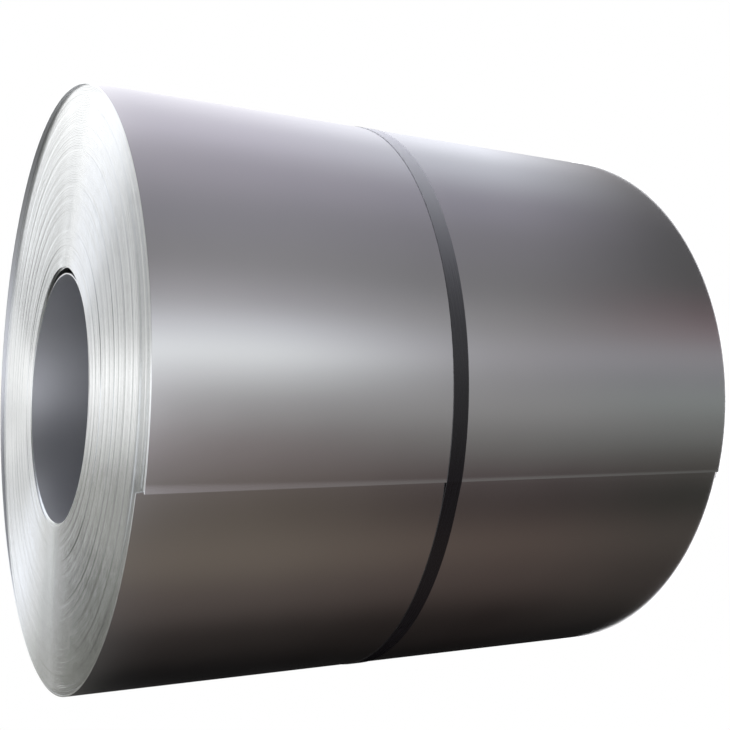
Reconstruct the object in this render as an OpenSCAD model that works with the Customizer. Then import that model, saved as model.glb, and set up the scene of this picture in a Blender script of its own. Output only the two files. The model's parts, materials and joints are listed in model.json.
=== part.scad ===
// Steel coil standing on its end, held by one strap. Millimetres.
// The axis runs along Z with the near end up, the strip's cut end is on the -Y side and the floor is at Z = 0.

/* [Strip] */
// Thickness of the strip
strip_t = 3; // [2:0.5:6]
// Width of the strip, which is the length of the coil
strip_w = 1250; // [900:10:1600]
// Number of turns wound on each other
turns = 118; // [40:1:200]
// Diameter of the bore that the mandrel leaves
bore_d = 508; // [406:2:762]

/* [Edges] */
// How far one turn stands out past the next at most
turn_step = 0.5; // [0.1:0.1:1]
// How far a group of turns stands out past its neighbours at most
group_step = 1.8; // [0.2:0.1:3]
// Turns in a group
group_turns = 7; // [3:1:15]
// Set-back of the innermost turns at the near end
inner_set_back = 5; // [2:0.5:12]
// How far the bore has settled from the coil's middle, towards -X
bore_drop = 27; // [0:1:30]
// Gap above the innermost turn, where it has sagged from the next
inner_gap = 9.5; // [4:0.5:12]
// Half of the angle over which that gap reaches
inner_gap_half = 40; // [20:1:60]

/* [Tail] */
// Angle of the strip's cut end from -Y towards -X
tail_angle = 18; // [0:1:45]
// Run of the last turn towards the far end at the cut
tail_run = 7.5; // [2:0.5:10]
// Lean of the last turn towards the near end a quarter turn on from the cut
tail_lean = 8; // [2:0.5:10]

/* [Strap] */
// Width of the strap
strap_w = 32; // [19:1:50]
// Thickness of the strap
strap_t = 1; // [0.6:0.1:1.5]
// Middle of the strap from the coil's near end
strap_at = 630; // [300:5:640]
// How far the strap lies nearer the near end at -Y than at the axis
strap_lean = 52; // [0:1:60]
// Clearance between the strap and what it lies on
strap_gap = 0.2; // [0.1:0.05:0.3]
// Angle of the seal from +Y towards +X
seal_angle = 45; // [25:1:60]
// Length of the seal along the strap
seal_l = 57; // [40:1:70]
// Thickness of the seal's sheet
seal_t = 1; // [0.6:0.1:1.5]
// Length of the strap's overlap under the seal
overlap_l = 120; // [90:5:160]
// Radius of the tool that crimps the seal
crimp_r = 4; // [2:0.5:6]
// Depth of the crimps across the seal
crimp_depth = 0.5; // [0.3:0.1:0.5]

/* [Hidden] */
$fn = 180;
bore_r = bore_d / 2;
outer_r = bore_r + turns * strip_t;
half_w = strip_w / 2;
big = 2 * outer_r;
// Half a turn before the cut the strip leaves the coil's own circle for one about a centre half a thickness
// towards the cut, so that it stands one thickness high there.
lap_at = [strip_t / 2, 0];
lap_r = outer_r + strip_t / 2;
under_r = lap_r - strip_t;
// The last turn's edges come level with the coil's ends at this angle on from the cut.
lap_end = 182 + atan(tail_run / tail_lean);
// Rings that join reach this far into each other.
sink = 0.5;
// The innermost turns sit back together and have settled with the bore.
inner_turns = 2;
sleeve_r = bore_r + inner_turns * strip_t;
bore_at = -bore_drop * [cos(90 + tail_angle), sin(90 + tail_angle)];
// The turns next to them are level, up to the first ring about the coil's middle that clears the settled bore.
flat_turns = inner_turns + ceil((bore_drop + 8) / strip_t);
core_r = bore_r - bore_drop - strip_t;
// The two lists shift each turn along the axis, as a whole group and turn by turn. The strip is narrower where it
// starts and where it ends, so that no edge there stands out at the far end.
group_shift = rands(-1, 1, ceil(turns / group_turns) + 1, 11);
turn_shift = rands(-1, 1, turns + 1, 23);
function shift(i) = i == solid_turns - 1 ? 0.6
    : group_step / 2 * group_shift[floor(i / group_turns)] + turn_step / 2 * turn_shift[i];
// The last two turns are not round, so the turned part ends below them.
solid_turns = turns - 2;
solid_r = bore_r + solid_turns * strip_t;
// The turned section runs up the near ends of the turns and down their far ends.
function edge(i, end) = [
    [i == flat_turns ? core_r : bore_r + i * strip_t, end * half_w + shift(i)],
    [bore_r + (i + 1) * strip_t, end * half_w + shift(i)]];
near_side = [for (i = [flat_turns : solid_turns - 1]) each edge(i, 1)];
far_side = [for (i = [solid_turns - 1 : -1 : flat_turns]) let (e = edge(i, -1)) each [e[1], e[0]]];
// The coil stands on the turns that reach furthest at its far end.
foot = half_w - min([for (i = [flat_turns : solid_turns - 1]) shift(i)]);
// The sagged turn leaves a crescent between its own outside and a higher arc through the same two ends.
sag_r = bore_r + strip_t;
sag_half = sag_r * sin(inner_gap_half);
sag_rise = sag_r * (1 - cos(inner_gap_half)) + inner_gap;
sag_arc_r = (sag_half * sag_half + sag_rise * sag_rise) / (2 * sag_rise);
sag_arc_c = sag_r + inner_gap - sag_arc_r;
// The cut is square across the strip, so it leans by the strip's own slope there, from the near end on.
cut_lean = atan(tail_lean / outer_r);
// The strap meets the cut this far above the plane through the cut's near corner and the axis.
cut_rise = strap_at * tan(cut_lean);
cut_turn = atan(cut_rise / outer_r);
// The strap spans straight from the cut down to the turn below.
span_sink = 0.05;
span = acos(outer_r / (outer_r + strip_t)) + 1;
strap_in = strap_gap;
strap_out = strap_gap + strap_t;
front = tail_angle;
seal_mid = tail_angle + 180 - seal_angle;
seal_half = seal_l / 2 / lap_r * 180 / PI;
overlap_half = overlap_l / 2 / lap_r * 180 / PI;

// The coil is drawn about its middle, with its cut end at +X and its last turn from there over +Y, then stood up.
module stand() {
    translate([0, 0, foot]) rotate([0, 0, -90 - tail_angle]) children();
}

// A slab square to the axis, whose two faces climb by the given rise at +X and at +Y.
module slab(width, middle, rise_x, rise_y) {
    translate([0, 0, middle]) rotate([atan(rise_y / outer_r), -atan(rise_x / outer_r), 0])
        cube([2 * big, 2 * big, width], center = true);
}

// A band is the part of a ring about the last turn's centre between two angles less than half a turn apart.
module band(r_in, r_out, from, to) {
    translate(lap_at) intersection() {
        difference() {
            circle(r = r_out);
            circle(r = r_in);
        }
        polygon([[0, 0], big * [cos(from), sin(from)], 2 * big * [cos((from + to) / 2), sin((from + to) / 2)],
            big * [cos(to), sin(to)]]);
    }
}

module turned() {
    difference() {
        union() {
            difference() {
                rotate_extrude() polygon(concat(near_side, far_side));
                translate([bore_at.x, bore_at.y, -strip_w]) cylinder(r = sleeve_r - sink, h = 2 * strip_w);
            }
            translate([bore_at.x, bore_at.y, sink - half_w]) difference() {
                cylinder(r = sleeve_r, h = strip_w - sink - inner_set_back);
                translate([0, 0, -1]) cylinder(r = bore_r, h = strip_w + 2);
            }
        }
        translate([bore_at.x, bore_at.y, -strip_w]) rotate([0, 0, 90 + tail_angle])
            linear_extrude(2 * strip_w) difference() {
                translate([sag_arc_c, 0]) circle(r = sag_arc_r);
                circle(r = sag_r);
            }
    }
}

// Half of a tube along the axis, on the side of the last half turn or on the other.
module half_tube(r_in, r_out, height, side) {
    intersection() {
        translate([0, 0, -height / 2]) difference() {
            cylinder(r = r_out, h = height);
            translate([0, 0, -1]) cylinder(r = r_in, h = height + 2);
        }
        translate([-big, side > 0 ? 0 : -big, -strip_w]) cube([2 * big, big, 2 * strip_w]);
    }
}

// A quarter of all space, from an angle on by 90 degrees.
module quarter(from) {
    rotate([0, 0, from]) translate([0, 0, -strip_w]) cube([big, big, 2 * strip_w]);
}

// The turn under the last one, which rises beneath it by one thickness in half a turn.
module under_turn() {
    half_tube(solid_r - strip_t / 2, outer_r - strip_t, strip_w, -1);
    translate(lap_at) half_tube(solid_r - strip_t, under_r, strip_w, 1);
    intersection() {
        half_tube(solid_r - strip_t / 2, outer_r, strip_w, -1);
        union() {
            quarter(lap_end);
            quarter(270);
        }
    }
}

module last_turn() {
    intersection() {
        union() {
            intersection() {
                half_tube(outer_r - strip_t - sink, outer_r, 2 * strip_w, -1);
                quarter(lap_end - 89);
            }
            difference() {
                translate(lap_at) half_tube(under_r - sink, lap_r, 2 * strip_w, 1);
                translate([0, 0, half_w]) rotate([cut_lean, 0, 0]) translate([0, -big, -2 * strip_w])
                    cube([big, big, 3 * strip_w]);
            }
        }
        slab(strip_w, 0, -tail_run, tail_lean);
        translate([-big, -big, -half_w]) cube([2 * big, 2 * big, 2 * strip_w]);
    }
}

module coil() {
    color([0.62, 0.62, 0.63]) stand() {
        turned();
        under_turn();
        last_turn();
    }
}

// The coil's barrel under the strap, grown by a distance.
module barrel(grow) {
    half_tube(outer_r / 2, outer_r + grow, strip_w, -1);
    difference() {
        translate(lap_at) half_tube(outer_r / 2, lap_r + grow, strip_w, 1);
        translate([0, cut_rise - big, -strip_w]) cube([big, big, 2 * strip_w]);
    }
    translate([0, 0, -half_w]) rotate([0, 0, cut_turn]) linear_extrude(strip_w) polygon([
        [outer_r * 0.6, 8], [outer_r + strip_t + grow - span_sink, 0.3],
        (outer_r + grow - span_sink) * [cos(span), -sin(span)], outer_r * 0.6 * [cos(span), -sin(span)]]);
}

module strap_slab(width) {
    slab(width, half_w - strap_at, strap_lean * cos(front), strap_lean * sin(front));
}

module strap() {
    color([0.12, 0.12, 0.13]) stand() intersection() {
        union() {
            difference() {
                barrel(strap_out);
                barrel(strap_in);
            }
            translate([0, 0, -half_w]) linear_extrude(strip_w) band(lap_r + strap_out - strap_t / 2,
                lap_r + strap_out + strap_t, seal_mid - overlap_half, seal_mid + overlap_half);
        }
        strap_slab(strap_w);
    }
}

module strap_seal() {
    seal_in = lap_r + strap_out + strap_t + strap_gap;
    color([0.3, 0.3, 0.31]) stand() difference() {
        intersection() {
            translate([0, 0, -half_w]) linear_extrude(strip_w)
                band(lap_r + strap_gap, seal_in + seal_t, seal_mid - seal_half, seal_mid + seal_half);
            strap_slab(strap_w + 2 * strap_gap + 2 * seal_t);
        }
        intersection() {
            translate([0, 0, -half_w]) linear_extrude(strip_w)
                band(lap_r - 1, seal_in, seal_mid - overlap_half, seal_mid + overlap_half);
            strap_slab(strap_w + 2 * strap_gap);
        }
        for (side = [-1, 1]) translate(lap_at) rotate([0, 0, seal_mid + side * seal_half / 2])
            translate([seal_in + seal_t + crimp_r - crimp_depth, 0, -half_w]) cylinder(r = crimp_r, h = strip_w);
    }
}

coil();
strap();
strap_seal();
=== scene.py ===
# %% [markdown]
# # A coil of bare steel strip
# The coil stands on its end, as coils are stored with the eye to the sky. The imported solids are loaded
# first and stay where they are. Everything below is measured in metres in the same frame: Z runs up the
# coil's axis, -Y faces the camera, and +X is the side that the photograph has at its top.

# %% Load the frame
import bpy
import json
import math
import numpy as np
from mathutils import Matrix, Vector


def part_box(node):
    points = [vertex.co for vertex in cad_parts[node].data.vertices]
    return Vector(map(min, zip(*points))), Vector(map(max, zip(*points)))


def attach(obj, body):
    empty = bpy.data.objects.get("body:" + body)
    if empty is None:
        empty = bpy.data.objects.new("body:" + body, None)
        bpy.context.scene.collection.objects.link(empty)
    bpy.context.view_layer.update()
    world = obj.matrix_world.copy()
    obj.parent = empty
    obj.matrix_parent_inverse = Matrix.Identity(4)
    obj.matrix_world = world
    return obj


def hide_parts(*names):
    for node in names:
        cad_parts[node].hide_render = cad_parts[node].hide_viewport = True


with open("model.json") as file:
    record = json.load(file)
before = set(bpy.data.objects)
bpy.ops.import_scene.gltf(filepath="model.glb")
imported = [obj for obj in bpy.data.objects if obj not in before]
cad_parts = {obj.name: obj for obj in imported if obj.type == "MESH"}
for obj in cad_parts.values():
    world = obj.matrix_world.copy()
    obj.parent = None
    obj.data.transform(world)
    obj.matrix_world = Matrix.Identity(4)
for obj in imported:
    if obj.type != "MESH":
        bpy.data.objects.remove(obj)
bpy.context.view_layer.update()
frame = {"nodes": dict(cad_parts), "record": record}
scene = bpy.context.scene
scene.view_settings.view_transform = "Standard"

# %% [markdown]
# ## The strip's own sizes
# A coil is one long strip, so a few sizes give all of it: thickness, width, the bore it was wound on and
# the number of turns. The bore comes from the record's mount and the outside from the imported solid. What
# is left is the way the strip wandered sideways while it was wound, which is what makes the ends look
# like a coil.

# %% Sizes of the strip
MM = 0.001
strip_t = 3 * MM
strip_w = 1250 * MM
inner_set_back = 5 * MM
bore = frame["record"]["mounts"][0]
bore_r = bore["dims"]["r_mm"] * MM
bore_x = bore["pos_m"][0]
coil_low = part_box("coil")[0]
outer_r = -coil_low.x
turns = round((outer_r - bore_r) / strip_t)
near_z = bore["pos_m"][2] + bore["dims"]["length_mm"] * MM / 2 + inner_set_back
far_z = near_z - strip_w
# The angle of the cut about the axis, 18 degrees from -Y towards -X.
cut_at = math.radians(-108)
print("turns", turns, "outside", round(outer_r, 4), "ends", round(far_z, 4), round(near_z, 4))

# %% [markdown]
# ## The camera
# The photograph looks at a lying coil from its front, a little past the near end. Here the coil stands,
# so the camera takes the same quarter turn: its right hand points down and its head towards +X. The lens
# and the place come from fitting the outlines of the ends, the barrel, the strap and the cut. The
# photograph is a crop, so the optical axis is a little off its middle, and the lens shift gives that.

# %% Camera
FRAME_PX = 730
focal_px = 1013.8
axis_px = (339.0, 336.3)
camera_at = Vector((-0.1438 * outer_r, -3.4687 * outer_r, near_z + 0.7706 * outer_r))
camera_right = Vector((0.00556, -0.47046, -0.8824)).normalized()
camera_ahead = Vector((0.09105, 0.87899, -0.46807)).normalized()
camera_up = camera_right.cross(camera_ahead).normalized()
lens = bpy.data.cameras.new("camera")
lens.sensor_width = 36
lens.lens = lens.sensor_width * focal_px / FRAME_PX
lens.shift_x = (FRAME_PX / 2 - axis_px[0]) / FRAME_PX
lens.shift_y = (axis_px[1] - FRAME_PX / 2) / FRAME_PX
camera = bpy.data.objects.new("camera", lens)
camera_turn = Matrix((camera_right, camera_up, -camera_ahead)).transposed()
camera.matrix_world = Matrix.Translation(camera_at) @ camera_turn.to_4x4()
scene.collection.objects.link(camera)
scene.camera = camera
print("lens", round(lens.lens, 2), "at", [round(v, 3) for v in camera_at])

# %% [markdown]
# ## Helpers for materials
# Colours are written as sRGB hex values, as a picture editor shows them, and turned to linear light once.
# One small function adds a node, sets it and links its inputs, so that each material reads as a list of
# what it is made of.

# %% Colour and node helpers
def linear(code):
    """An sRGB hex colour as linear red, green, blue and alpha."""
    parts = [int(code[i:i + 2], 16) / 255 for i in (1, 3, 5)]
    return [p / 12.92 if p <= 0.04045 else ((p + 0.055) / 1.055) ** 2.4 for p in parts] + [1.0]


def add(tree, kind, links=None, **settings):
    """Adds a node. Keys of links are names or numbers of inputs, and values are sockets or plain values."""
    node = tree.nodes.new(kind)
    for name, value in settings.items():
        setattr(node, name, value)
    for key, value in (links or {}).items():
        if isinstance(value, bpy.types.NodeSocket):
            tree.links.new(value, node.inputs[key])
        else:
            node.inputs[key].default_value = value
    return node


def fresh(name):
    """A new material with an empty node tree, and its output node."""
    material = bpy.data.materials.new(name)
    material.use_nodes = True
    material.node_tree.nodes.clear()
    return material, material.node_tree, material.node_tree.nodes.new("ShaderNodeOutputMaterial")


def stops(ramp, colours):
    """Sets a colour ramp's stops from pairs of place and linear colour, with eased steps between them."""
    ramp.color_ramp.interpolation = "EASE"
    while len(ramp.color_ramp.elements) > 1:
        ramp.color_ramp.elements.remove(ramp.color_ramp.elements[0])
    for number, (place, colour) in enumerate(colours):
        element = ramp.color_ramp.elements[0] if number == 0 else ramp.color_ramp.elements.new(place)
        element.position = place
        element.color = colour


def patches(tree, size, detail):
    """Noise with patches of this size, fixed to the piece."""
    place = add(tree, "ShaderNodeTexCoord").outputs["Object"]
    noise = add(tree, "ShaderNodeTexNoise", {"Vector": place, "Scale": 1 / size, "Detail": detail})
    return noise.outputs["Fac"]


def lines_round(tree, scale, squeeze):
    """Noise squeezed along the axis, so that it makes lines round the coil."""
    place = add(tree, "ShaderNodeTexCoord").outputs["Object"]
    squeezed = add(tree, "ShaderNodeMapping", {"Vector": place, "Scale": (1.0, 1.0, squeeze)})
    noise = add(tree, "ShaderNodeTexNoise", {"Vector": squeezed.outputs[0], "Scale": scale, "Detail": 4.0})
    return noise.outputs["Fac"]


def between(tree, share, first, second):
    """A colour between two hex ones, by a share."""
    return add(tree, "ShaderNodeMixRGB", {0: share, 1: linear(first), 2: linear(second)}).outputs[0]


def spread(tree, share, low, high):
    """Noise spread over a range. Its own values are mostly between 0.3 and 0.7."""
    return add(tree, "ShaderNodeMapRange", {0: share, 1: 0.3, 2: 0.7, 3: low, 4: high}).outputs[0]


def surface(tree, output, settings):
    """One Principled surface as the whole of a material."""
    shader = add(tree, "ShaderNodeBsdfPrincipled", settings)
    tree.links.new(shader.outputs[0], output.inputs["Surface"])


# %% [markdown]
# ## Cold-rolled steel
# The strip's faces come off polished rolls: bare grey metal with a satin sheen. The rolls leave very fine
# lines along the strip, which run round the coil, so a highlight is drawn out along the axis. The mill's
# oil and handling leave faint clouds in the sheen.

# %% Cold-rolled strip
def cold_rolled_steel():
    material, tree, output = fresh("cold_rolled_steel")
    clouds = patches(tree, 350 * MM, 3.0)
    bump = add(tree, "ShaderNodeBump", {
        "Height": lines_round(tree, 3.0, 160.0), "Strength": 0.03, "Distance": 0.5 * MM})
    around = add(tree, "ShaderNodeTangent", direction_type="RADIAL", axis="Z")
    surface(tree, output, {
        "Base Color": between(tree, clouds, "#BCBBBD", "#C6C4C4"), "Metallic": 1.0,
        "Roughness": spread(tree, clouds, 0.2, 0.24), "Anisotropic": 0.35,
        "Tangent": around.outputs[0], "Normal": bump.outputs[0]})
    return material


strip_steel = cold_rolled_steel()

# %% [markdown]
# ## The strip's inner face
# The inner face rubbed on the mandrel and on the turn under it all through the winding, so it is duller
# than the outer one. Its colour is painted lighter and a little bluer than the outer face's, as painted
# light for the bore. It shows in the bore, where it scatters what light comes in at the mouth, and on the
# loose last turn.

# %% Rubbed inner face of the strip, with its colour painted lighter
def rubbed_steel_painted_light():
    material, tree, output = fresh("rubbed_steel_painted_light")
    clouds = patches(tree, 90 * MM, 2.0)
    # The base colour is painted lighter and bluer than the outer face's: painted light in the bore. The
    # higher roughness is the rubbing.
    surface(tree, output, {
        "Base Color": between(tree, clouds, "#CBCCD0", "#D2D3D6"), "Metallic": 1.0, "Roughness": 0.45})
    return material


inner_steel = rubbed_steel_painted_light()

# %% [markdown]
# ## Slit edges
# The strip was slit to width, so its edges are sheared: a bright narrow land, a rougher fracture and a
# rolled-over corner. On the coil's ends they lie side by side, more than a hundred edges seen at a low
# angle.

# %% Slit edges of the strip
def slit_edge_steel():
    material, tree, output = fresh("slit_edge_steel")
    grain = patches(tree, 25 * MM, 4.0)
    surface(tree, output, {
        "Base Color": between(tree, grain, "#D5D7D7", "#E1E3E3"), "Metallic": 1.0,
        "Roughness": spread(tree, grain, 0.16, 0.22)})
    return material


edge_steel = slit_edge_steel()

# %% [markdown]
# ## Painted strapping
# The strap is a steel band in black wax paint. Paint is a dielectric: it stays dark seen square on, and
# shines where it is seen at a low angle. Fine lines run along it. Towards +X its colour is painted pale,
# with a sheen that grows with it, and it is duller there: a painted reflection of the bright light on that
# side.

# %% Painted strap
# Heights along X over which the painted reflection grows from none to full, and the power that gathers it
# towards +X.
reflection_paint_from = -0.1 * outer_r
reflection_paint_full = 0.88 * outer_r
reflection_paint_gather = 2.8


def painted_strapping():
    material, tree, output = fresh("painted_strapping")
    lines = lines_round(tree, 12.0, 40.0)
    paint = between(tree, lines, "#0C0B0E", "#141317")
    # Painted reflection: the colour turns pale towards +X, and a sheen and more roughness grow with it.
    at = add(tree, "ShaderNodeSeparateXYZ", {0: add(tree, "ShaderNodeNewGeometry").outputs["Position"]})
    upward = add(tree, "ShaderNodeMapRange", {
        0: at.outputs[0], 1: reflection_paint_from, 2: reflection_paint_full, 3: 0.0, 4: 1.0})
    gathered = add(tree, "ShaderNodeMath", {0: upward.outputs[0], 1: reflection_paint_gather}, operation="POWER")
    painted_reflection = gathered.outputs[0]
    paled_by_reflection = add(tree, "ShaderNodeMixRGB", {0: painted_reflection, 1: paint, 2: linear("#E4E5EC")})
    dull = add(tree, "ShaderNodeMath", {0: painted_reflection, 1: 0.3, 2: spread(tree, lines, 0.22, 0.3)},
               operation="MULTIPLY_ADD")
    surface(tree, output, {
        "Base Color": paled_by_reflection.outputs[0], "Metallic": 0.0, "Roughness": dull.outputs[0], "IOR": 1.5,
        "Sheen Weight": painted_reflection, "Sheen Roughness": 0.45, "Sheen Tint": linear("#FAFAFF")})
    return material


strap_steel = painted_strapping()

# %% [markdown]
# ## Seal
# The seal is a short sleeve of bare sheet steel, bent round the two ends of the strap and crimped.

# %% Bare sheet of the seal
def crimped_sheet_steel():
    material, tree, output = fresh("crimped_sheet_steel")
    grain = patches(tree, 12 * MM, 3.0)
    surface(tree, output, {
        "Base Color": linear("#9C9DA0"), "Metallic": 1.0, "Roughness": spread(tree, grain, 0.28, 0.4)})
    return material


seal_steel = crimped_sheet_steel()

# %% [markdown]
# ## Winding the strip
# A place along the strip is counted in turns from its start at the bore, and its cut end is at the last
# turn. The strip climbs by one thickness in each turn, in the half turn that ends over the cut, as the
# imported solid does, so that the strap lies on it all round. Sheets of quads are swept along that spiral:
# one row of points for each place, with the section's points across. It gives true turns, a true step at
# the cut and edges that wander from turn to turn, which a stack of plain rings wouldn't.

# %% Spiral helpers
rng = np.random.default_rng(7)


def held(place, spell, values):
    """A value that holds for most of each spell of turns and then moves on to the next."""
    steps = place / spell
    whole = np.floor(steps).astype(int)
    moved = np.clip((steps - whole - 0.75) / 0.25, 0, 1)
    moved = moved * moved * (3 - 2 * moved)
    return values[whole] * (1 - moved) + values[whole + 1] * moved


# The last turn lies this far towards the near end, at angles in degrees on from the cut. It lies back at
# the cut, stands out over the far side and bulges a little where it comes round below the cut.
LEAN_AT = (0, 30, 60, 90, 108, 133, 168, 198, 213, 228, 248, 260, 280, 302, 324, 342, 360)
LEAN = np.array((-7.5, -4.3, -0.2, 4, 6.2, 8.6, 9, 7.6, 6, 4, 1, 0, 0, 2, 4.5, 5, 5)) * MM
# The turns under it lie back round the cut, each a little less than the one over it. Between the two the
# strip changes over within LIE_BACK degrees, where the cut covers it.
LIE_AT = (0, 30, 60, 300, 330, 345, 360)
LIE = np.array((-7.5, -4.3, 0, 0, -1.8, -4.2, -7.5)) * MM
LIE_BACK = 0.25
LOOSE_TURNS = 16
# The wander fades out between these counts of turns before the cut.
FADE_FROM = 3.0
FADE_TO = 1.5
# Turns outside this radius have not settled with the bore.
still_r = outer_r - 12 * MM
coarse = rng.uniform(-1, 1, 200)
middle = rng.uniform(-1, 1, 200)
fine = rng.uniform(-1, 1, 400)
# Each wander has a size in millimetres, a spell in turns and its values.
WANDERS = ((0.2, 13.0, coarse), (0.45, 3.1, middle), (0.12, 0.9, fine))
# Faces that meet at more than this angle have a sharp edge between them.
strip_sharp = math.radians(35)
solid_sharp = math.radians(30)


def wander(place):
    """How far the strip lies towards the near end at a place along it."""
    shift = sum(size * held(place, spell, values) for size, spell, values in WANDERS)
    return shift * MM * np.clip((turns - FADE_TO - place) / (FADE_FROM - FADE_TO), 0, 1)


def lean(place):
    """How far the loose outer turns lie towards the near end: the last leans, others lie back under it."""
    back = turns - place
    over = np.maximum(np.ceil(back) - 1, 0)
    angle = 360 * (back - over)
    follow = np.clip(1 - over / LOOSE_TURNS, 0, 1)
    return np.where(over == 0, np.interp(angle, LEAN_AT, LEAN), np.interp(angle, LIE_AT, LIE) * follow)


def settled(radius):
    """How far the turn at this radius lies off the coil's middle, as the inner turns settled."""
    return bore_x * np.clip((still_r - radius) / (still_r - bore_r), 0, 1)


def climb(place):
    """How many thicknesses the strip's inner face lies above the bore."""
    back = turns - place
    over = np.maximum(np.ceil(back) - 1, 0)
    rise = (1 + np.cos(2 * math.pi * np.minimum(back - over, 0.5))) / 2
    return turns - 1 - over + rise


def azimuth(place):
    """The angle about the coil's axis at a place along the strip."""
    return cut_at + 2 * math.pi * (turns - place)


def strip_rows(first, last, per_turn):
    """Places along the strip between two whole turns, with one more in each turn close to the cut."""
    parts = np.append(np.arange(per_turn) / per_turn, 1 - LIE_BACK / 360)
    return np.append((np.arange(first, last)[:, None] + np.sort(parts)[None, :]).ravel(), last)


def grid_piece(name, x, y, z, materials, columns=None, ring=False):
    """A mesh piece from a grid of points, with a material number for each column of quads."""
    rows, count = x.shape
    points = np.stack([x, y, z], axis=-1).reshape(-1, 3)
    quads_across = count if ring else count - 1
    row, column = np.meshgrid(np.arange(rows - 1), np.arange(quads_across), indexing="ij")
    after = (column + 1) % count
    quads = np.stack([row * count + column, row * count + after, (row + 1) * count + after,
                      (row + 1) * count + column], axis=-1).reshape(-1, 4)
    mesh = bpy.data.meshes.new(name)
    mesh.from_pydata(points.tolist(), [], quads.tolist())
    for material in materials:
        mesh.materials.append(material)
    if columns is not None:
        mesh.polygons.foreach_set("material_index", np.tile(np.asarray(columns, dtype=np.int32), rows - 1))
    mesh.shade_smooth()
    mesh.set_sharp_from_angle(angle=strip_sharp)
    mesh.update()
    piece = bpy.data.objects.new(name, mesh)
    scene.collection.objects.link(piece)
    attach(piece, "root")
    print(name, len(quads), "quads")
    return piece


# %% [markdown]
# ## The ends of the turns
# Each edge is flat with its two corners rolled over, as slitting and handling leave it, and no two turns
# end quite level. From a low angle the flats, the corners and the small steps each show a different part
# of the surroundings. The corners and steps that face the eye change sides at the top and the bottom,
# which is what fans the light round the end.

# %% Edges of the wound turns
# Points across an edge, as shares of the strip's thickness, and how far each lies below the flat.
edge_u = np.array([0.01, 0.01, 0.13, 0.87, 0.99, 0.99])
edge_drop = np.array([6.0, 0.36, 0.0, 0.0, 0.36, 6.0]) * MM
near_rows = 132
far_rows = 96
floor_gap = 0.1 * MM
gap_at = math.radians(108)
gap_half = math.radians(40)
gap_depth = 9.5 * MM
gap_fade = 30 * MM
set_back_least = 0.1


def sag(place, radius):
    """How far the sagged start of the strip has opened a gap under the turns at this radius."""
    off = (2 * math.pi * (turns - place) - gap_at + math.pi) % (2 * math.pi) - math.pi
    rise = np.where(np.abs(off) < gap_half, np.cos(off / gap_half * math.pi / 2), 0.0)
    return gap_depth * rise * np.clip(1 - (radius - bore_r - strip_t) / gap_fade, 0, 1)


def set_back(place):
    """How far the innermost turns lie back at the near end: most above and below, little at the sides."""
    most = np.cos(2 * math.pi * (turns - place) - gap_at) ** 2
    return inner_set_back * (set_back_least + (1 - set_back_least) * most)


def wound_edges(name, side, per_turn):
    """The edges of all turns but the outer two and the innermost. Side 1 is the near end, -1 the far one."""
    place = strip_rows(1, turns - 2, per_turn)[:, None]
    wound_r = bore_r + strip_t * (climb(place) + edge_u[None, :])
    radius = wound_r + sag(place, wound_r)
    if side > 0:
        shift = np.where(place < 2, -set_back(place), wander(place) + lean(place))
        height = near_z + shift - edge_drop[None, :]
    else:
        height = np.maximum(far_z + wander(place), coil_low.z + floor_gap) + edge_drop[None, :]
    angle = azimuth(place)
    x = radius * np.cos(angle) + settled(wound_r)
    grid_piece(name, x, radius * np.sin(angle), height + 0 * radius, [edge_steel])


wound_edges("coil_near_turns", 1, near_rows)
wound_edges("coil_far_turns", -1, far_rows)

# %% [markdown]
# ## The outer turns
# The last two turns are whole: both faces and both edges, swept as one closed section. The loose last
# turn leans, so it stands proud of the near end on one side and lies back from it at the cut. The cut was
# sheared, which curled the strip's end outwards into a small lip, more at the near end than at the far
# one. The cut is square across the strip, so it leans by the strip's own slope.

# %% Outer turns with the cut end
lip_near = 14 * MM
lip_far = 6 * MM
lip_slope_near = math.tan(math.radians(10))
lip_slope_far = math.tan(math.radians(5.5))
lip_curl = 1.3
cut_lean = 8 * MM / outer_r
# Share of a turn over which the lean of the cut fades, and over which the lip's closer rows take over.
cut_fade = 0.05
lip_start = 0.006
lip_steps = np.array([20, 16, 14, 12, 10, 8, 6, 5, 4, 3, 2, 1, 0]) * MM
outer_rows = 288
corner_drop = 0.4 * MM
# Places along the strip's width from 0 at the far edge to 1 at the near one, with one close to each edge.
face_along = np.concatenate([[0, 0.0016], np.linspace(0.02, 0.98, 11), [0.9984, 1]])
face_parts = len(face_along) - 1
land = np.array([0.1, 0.5, 0.9])
land_parts = len(land) + 1
# The strip's closed section runs along the outer face, the near edge, the inner face and the far edge. Its
# four corners are a little lower than the edges between them.
across = np.concatenate([np.ones_like(face_along), land[::-1], np.zeros_like(face_along), land])[None, :]
along = np.concatenate([face_along, np.ones_like(land), face_along[::-1], np.zeros_like(land)])[None, :]
corners = [0, face_parts, face_parts + land_parts, 2 * face_parts + land_parts]
drop = np.zeros_like(across)
drop[0, corners] = corner_drop


def section_height(near, far):
    """The height of the section's points between the strip's far and near edges."""
    return far + (near - far) * along + drop * np.where(along == 1, -1, 1)


def section_columns(outside, edge, inside):
    """A material number for each column of quads round the section."""
    return [outside] * face_parts + [edge] * land_parts + [inside] * face_parts + [edge] * land_parts


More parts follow.
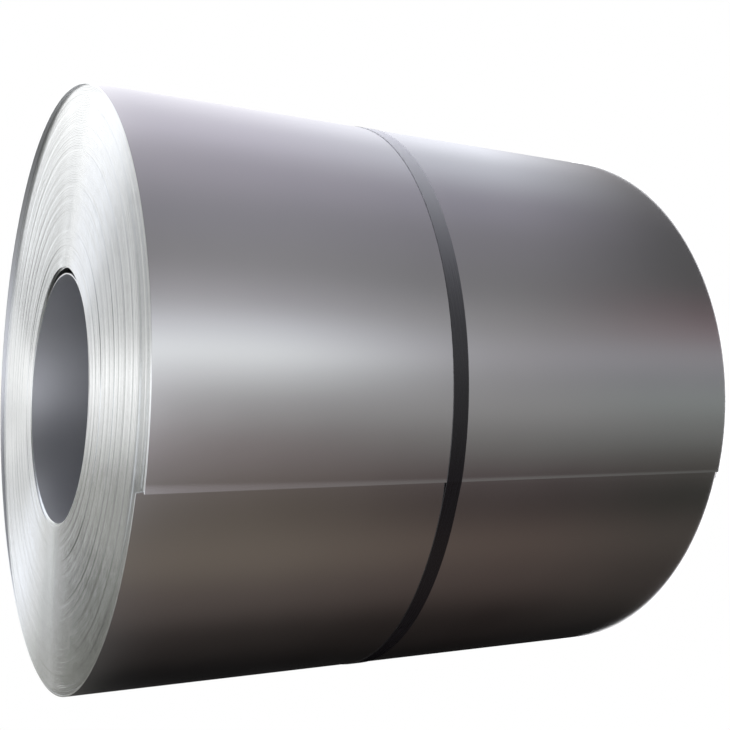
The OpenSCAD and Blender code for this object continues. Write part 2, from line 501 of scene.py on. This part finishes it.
def outer_turns():
    round_length = 2 * math.pi * outer_r
    whole = strip_rows(turns - 2, turns, outer_rows)
    place = np.concatenate([whole[whole < turns - lip_start], turns - lip_steps / round_length])[:, None]
    lip = lip_far + (lip_near - lip_far) * along ** 3
    lip_slope = lip_slope_far + (lip_slope_near - lip_slope_far) * along ** 3
    short = np.clip(lip - round_length * (turns - place), 0, None)
    radius = bore_r + strip_t * (climb(place) + across)
    radius = radius + lip_slope * lip / lip_curl * (short / lip) ** lip_curl
    height = section_height(near_z + lean(place), np.maximum(far_z + lean(place), far_z))
    nearness = np.clip(1 - (turns - place) / cut_fade, 0, 1)
    angle = azimuth(place) + nearness * cut_lean * (near_z - height) / outer_r
    return grid_piece("coil_outer_turns", radius * np.cos(angle), radius * np.sin(angle), height,
                      [strip_steel, edge_steel, inner_steel], section_columns(0, 1, 2), ring=True)


outer = outer_turns()
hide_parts("coil")

# %% [markdown]
# ## The start of the strip
# The innermost turn has sagged from the next one when the mandrel was drawn out, so a dark gap shows
# above it. It is a thin tube here, and the turn over the gap is a second one, whose inside is what shows
# in the gap.

# %% Innermost turn and the gap above it
inner_rows = 132
inner_lift = 0.5 * MM
tuck_far = 4 * MM
tuck_near = 6 * MM


def inner_turn():
    place = np.linspace(0, 1, inner_rows + 1)[:, None]
    angle = azimuth(place)
    radius = bore_r + strip_t * across + 0 * place
    height = section_height(near_z - set_back(place), far_z + inner_lift)
    x = radius * np.cos(angle) + bore_x
    grid_piece("coil_inner_turn", x, radius * np.sin(angle), height + 0 * radius,
               [inner_steel, edge_steel], section_columns(0, 1, 0), ring=True)


def second_turn():
    place = np.linspace(1, 2, inner_rows + 1)[:, None]
    angle = azimuth(place)
    wound_r = bore_r + strip_t * climb(place) + 0 * face_along[None, :]
    radius = wound_r + sag(place, wound_r)
    height = far_z + tuck_far + (strip_w - tuck_far - tuck_near) * face_along[None, :] + 0 * radius
    x = radius * np.cos(angle) + settled(wound_r)
    grid_piece("coil_second_turn", x, radius * np.sin(angle), height, [strip_steel])


inner_turn()
second_turn()

# %% [markdown]
# ## The strap and its seal
# The strap and its crimped seal are right as solids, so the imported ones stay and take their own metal.

# %% Strap and seal
for node, metal in (("strap", strap_steel), ("strap_seal", seal_steel)):
    solid = frame["nodes"][node]
    solid.data.materials.clear()
    solid.data.materials.append(metal)
    solid.data.polygons.foreach_set("use_smooth", np.ones(len(solid.data.polygons), dtype=bool))
    solid.data.set_sharp_from_angle(angle=solid_sharp)

# %% [markdown]
# ## Light
# Bare metal shows its surroundings, so the light is a tent: a large ball of cloth round the coil that
# glows softly, brighter where lamps stand behind it. A level is the brightness that white paper would
# have there. The lower half shows in the barrel and the upper half in the near end. The camera doesn't
# see the tent, and gets plain white.

# %% Light tent
tent_centre = (0.0, 0.0, near_z / 2)
tent_r = 5.0
# The highest level. A ramp holds shares of it.
LEVEL = 3.0
# Each sweep lists angles in degrees from the front, with +X at 90, and the level and tint of the cloth
# there.
shallow_sweep = [
    (-180, 0.00, "#FFFFFF"), (-128, 0.00, "#FFEDD5"), (-100, 0.03, "#FFE9DE"), (-80, 0.13, "#FFE9DE"),
    (-62, 0.23, "#FFEDD8"), (-42, 0.16, "#FFEDD8"), (-22, 0.29, "#FFEFEC"), (-6, 0.52, "#FFFFFF"),
    (3, 0.98, "#FAFEFF"), (10, 1.60, "#F9FEFF"), (17, 1.20, "#F6FAFF"), (28, 0.62, "#FBFAFF"),
    (42, 0.42, "#FCFBFF"), (60, 0.45, "#F5F4FF"), (83, 0.64, "#F4F1FF"), (108, 1.04, "#F4F2FF"),
    (130, 1.30, "#F6F5FF"), (150, 1.40, "#FAFAFF"), (166, 0.95, "#FFFFFF"), (174, 0.45, "#FFFFFF"),
    (180, 0.25, "#FFFFFF")]
middle_sweep = [
    (-180, 0.00, "#FFFFFF"), (-142, 0.00, "#FFEDD5"), (-105, 0.02, "#FFE4DC"), (-76, 0.11, "#FFE2D6"),
    (-62, 0.155, "#FFE2D2"), (-44, 0.07, "#FFE2DE"), (-32, 0.12, "#FFE6E6"), (-21, 0.25, "#FDFDF8"),
    (-6, 0.43, "#FFFFFF"), (4, 0.41, "#FBFBFF"), (13, 0.56, "#F9F8FF"), (24, 0.40, "#FDFDFF"),
    (40, 0.30, "#FBFBFF"), (60, 0.36, "#F7F5FF"), (80, 0.50, "#F1EFFF"), (108, 0.98, "#F1F5FF"),
    (132, 1.45, "#F3F6FF"), (150, 1.40, "#F8FAFF"), (166, 0.90, "#FFFFFF"), (174, 0.45, "#FFFFFF"),
    (180, 0.25, "#FFFFFF")]
deep_sweep = [
    (-180, 0.00, "#FFFFFF"), (-132, 0.01, "#FFFFFF"), (-84, 0.06, "#FFF0E4"), (-62, 0.095, "#FFF2E4"),
    (-42, 0.045, "#FAFFF0"), (-31, 0.10, "#FFF8EC"), (-12, 0.28, "#FAFFFA"), (-2, 0.41, "#F3FFFB"),
    (6, 0.36, "#F5F9FF"), (16, 0.46, "#F9F8FF"), (26, 0.32, "#FFE8EE"), (36, 0.20, "#FFE6EA"),
    (50, 0.13, "#FFFFFF"), (75, 0.14, "#FDFDFF"), (100, 0.20, "#FDFCFF"), (130, 0.30, "#FFFAFA"),
    (180, 0.30, "#FFFFFF")]
# Low on the upper half is what the flats of the edges show, with the back at 180 degrees.
upper_sweep = [
    (-180, 0.28, "#FFFFFF"), (-176, 1.55, "#FFFFFF"), (-168, 2.70, "#F8FAFF"), (-159, 1.00, "#FFFFFA"),
    (-148, 0.25, "#FFFFF6"), (-60, 0.40, "#FFFFFF"), (-30, 1.20, "#F8F9FF"), (-8, 2.90, "#F6F8FF"),
    (6, 2.60, "#F6F8FF"), (18, 0.50, "#F8F9FF"), (40, 0.15, "#FFFFFF"), (70, 0.60, "#FFFFFF"),
    (105, 2.00, "#FAFAFF"), (150, 2.00, "#FFFFFF"), (165, 2.75, "#FAFCFF"), (171, 1.50, "#FAFCFF"),
    (177, 0.45, "#FFFFFF"), (180, 0.28, "#FFFFFF")]
# Higher up is what their corners show, and the lamp over the front also lights the mouth of the bore.
high_sweep = [
    (-180, 1.20, "#FFFFFF"), (-174, 0.38, "#FFFFF8"), (-165, 0.18, "#FFFFF4"), (-136, 0.06, "#FFFFF2"),
    (-117, 0.06, "#FFFFF2"), (-80, 0.55, "#FFFFFA"), (-24, 1.80, "#F8F9FF"), (-2, 3.00, "#F8F9FF"),
    (12, 0.40, "#F8F9FF"), (36, 0.04, "#FFFFFF"), (85, 0.18, "#F6F8FF"), (117, 1.80, "#F2F5FF"),
    (136, 1.90, "#F4F6FF"), (153, 1.30, "#FFFFFF"), (165, 0.70, "#FFFFFF"), (172, 0.80, "#FFFFFF"),
    (177, 1.60, "#FFFFFF"), (180, 1.20, "#FFFFFF")]
crown_sweep = [
    (-180, 0.50, "#FFFFFF"), (-96, 0.07, "#FFFFF6"), (-60, 0.25, "#FFFFFF"), (60, 0.20, "#FFFFFF"),
    (96, 0.70, "#F4F6FF"), (140, 1.00, "#FFFFFF"), (180, 0.50, "#FFFFFF")]
roof_sweep = [(-180, 1.15, "#FFFFFF"), (180, 1.15, "#FFFFFF")]
# Each layer takes over from the one below it between two heights, in degrees above the tent's middle.
layers = [(middle_sweep, -46, -36), (shallow_sweep, -32, -17), (upper_sweep, -8, 2), (high_sweep, 12, 20),
          (crown_sweep, 50, 62), (roof_sweep, 72, 78)]


def sweep_ramp(tree, turn, sweep):
    """The colours of one sweep round the tent."""
    ramp = add(tree, "ShaderNodeValToRGB", {0: turn})
    stops(ramp, [((angle + 180) / 360, [c * level / LEVEL for c in linear(tint)[:3]] + [1.0])
                 for angle, level, tint in sweep])
    return ramp.outputs[0]


def light_tent():
    bpy.ops.mesh.primitive_uv_sphere_add(segments=64, ring_count=32, radius=tent_r, location=tent_centre)
    tent = bpy.context.object
    tent.name = "light_tent"
    material, tree, output = fresh("tent_cloth")
    place = add(tree, "ShaderNodeTexCoord").outputs["Object"]
    way = add(tree, "ShaderNodeVectorMath", {0: place}, operation="NORMALIZE")
    part = add(tree, "ShaderNodeSeparateXYZ", {0: way.outputs[0]})
    front = add(tree, "ShaderNodeMath", {0: part.outputs[1], 1: -1.0}, operation="MULTIPLY")
    turn = add(tree, "ShaderNodeMath", {0: part.outputs[0], 1: front.outputs[0]}, operation="ARCTAN2")
    share = add(tree, "ShaderNodeMapRange", {0: turn.outputs[0], 1: -math.pi, 2: math.pi, 3: 0.0, 4: 1.0})
    cloth = sweep_ramp(tree, share.outputs[0], deep_sweep)
    for sweep, below, above in layers:
        lower, upper = (math.sin(math.radians(angle)) for angle in (below, above))
        rise = add(tree, "ShaderNodeMapRange", {0: part.outputs[2], 1: lower, 2: upper, 3: 0.0, 4: 1.0})
        layer = sweep_ramp(tree, share.outputs[0], sweep)
        cloth = add(tree, "ShaderNodeMixRGB", {0: rise.outputs[0], 1: cloth, 2: layer}).outputs[0]
    glow = add(tree, "ShaderNodeEmission", {"Color": cloth, "Strength": LEVEL})
    tree.links.new(glow.outputs[0], output.inputs["Surface"])
    tent.data.materials.append(material)
    tent.data.shade_smooth()
    tent.visible_camera = False


light_tent()

# %% [markdown]
# ## Floor and background
# The floor is a plain pale disc under the coil, and all beyond it is white. Both add light only where the
# eye looks, straight or by reflection, so neither brightens the coil, and the floor still takes the
# coil's shadow.

# %% Floor and world
floor_r = 0.614
floor_fill = 0.7


def seen_rays(tree):
    """One for camera, glossy and transmission rays, and nought for the rest."""
    rays = add(tree, "ShaderNodeLightPath")
    first = add(tree, "ShaderNodeMath", {
        0: rays.outputs["Is Camera Ray"], 1: rays.outputs["Is Glossy Ray"]}, operation="MAXIMUM")
    both = add(tree, "ShaderNodeMath", {
        0: first.outputs[0], 1: rays.outputs["Is Transmission Ray"]}, operation="MAXIMUM")
    return both.outputs[0]


def pale_floor():
    bpy.ops.mesh.primitive_circle_add(
        vertices=128, radius=floor_r, fill_type="NGON", location=(0, 0, coil_low.z))
    floor = bpy.context.object
    floor.name = "floor"
    material, tree, output = fresh("pale_floor")
    paint = add(tree, "ShaderNodeBsdfDiffuse", {"Color": linear("#F4F4F4")})
    strength = add(tree, "ShaderNodeMath", {0: seen_rays(tree), 1: floor_fill}, operation="MULTIPLY")
    fill = add(tree, "ShaderNodeEmission", {"Color": (1, 1, 1, 1), "Strength": strength.outputs[0]})
    both = add(tree, "ShaderNodeAddShader", {0: paint.outputs[0], 1: fill.outputs[0]})
    tree.links.new(both.outputs[0], output.inputs["Surface"])
    floor.data.materials.append(material)


def white_world():
    world = bpy.data.worlds.new("white")
    world.use_nodes = True
    tree = world.node_tree
    tree.nodes.clear()
    back = add(tree, "ShaderNodeBackground", {"Color": (1, 1, 1, 1), "Strength": seen_rays(tree)})
    output = add(tree, "ShaderNodeOutputWorld")
    tree.links.new(back.outputs[0], output.inputs["Surface"])
    scene.world = world


pale_floor()
white_world()
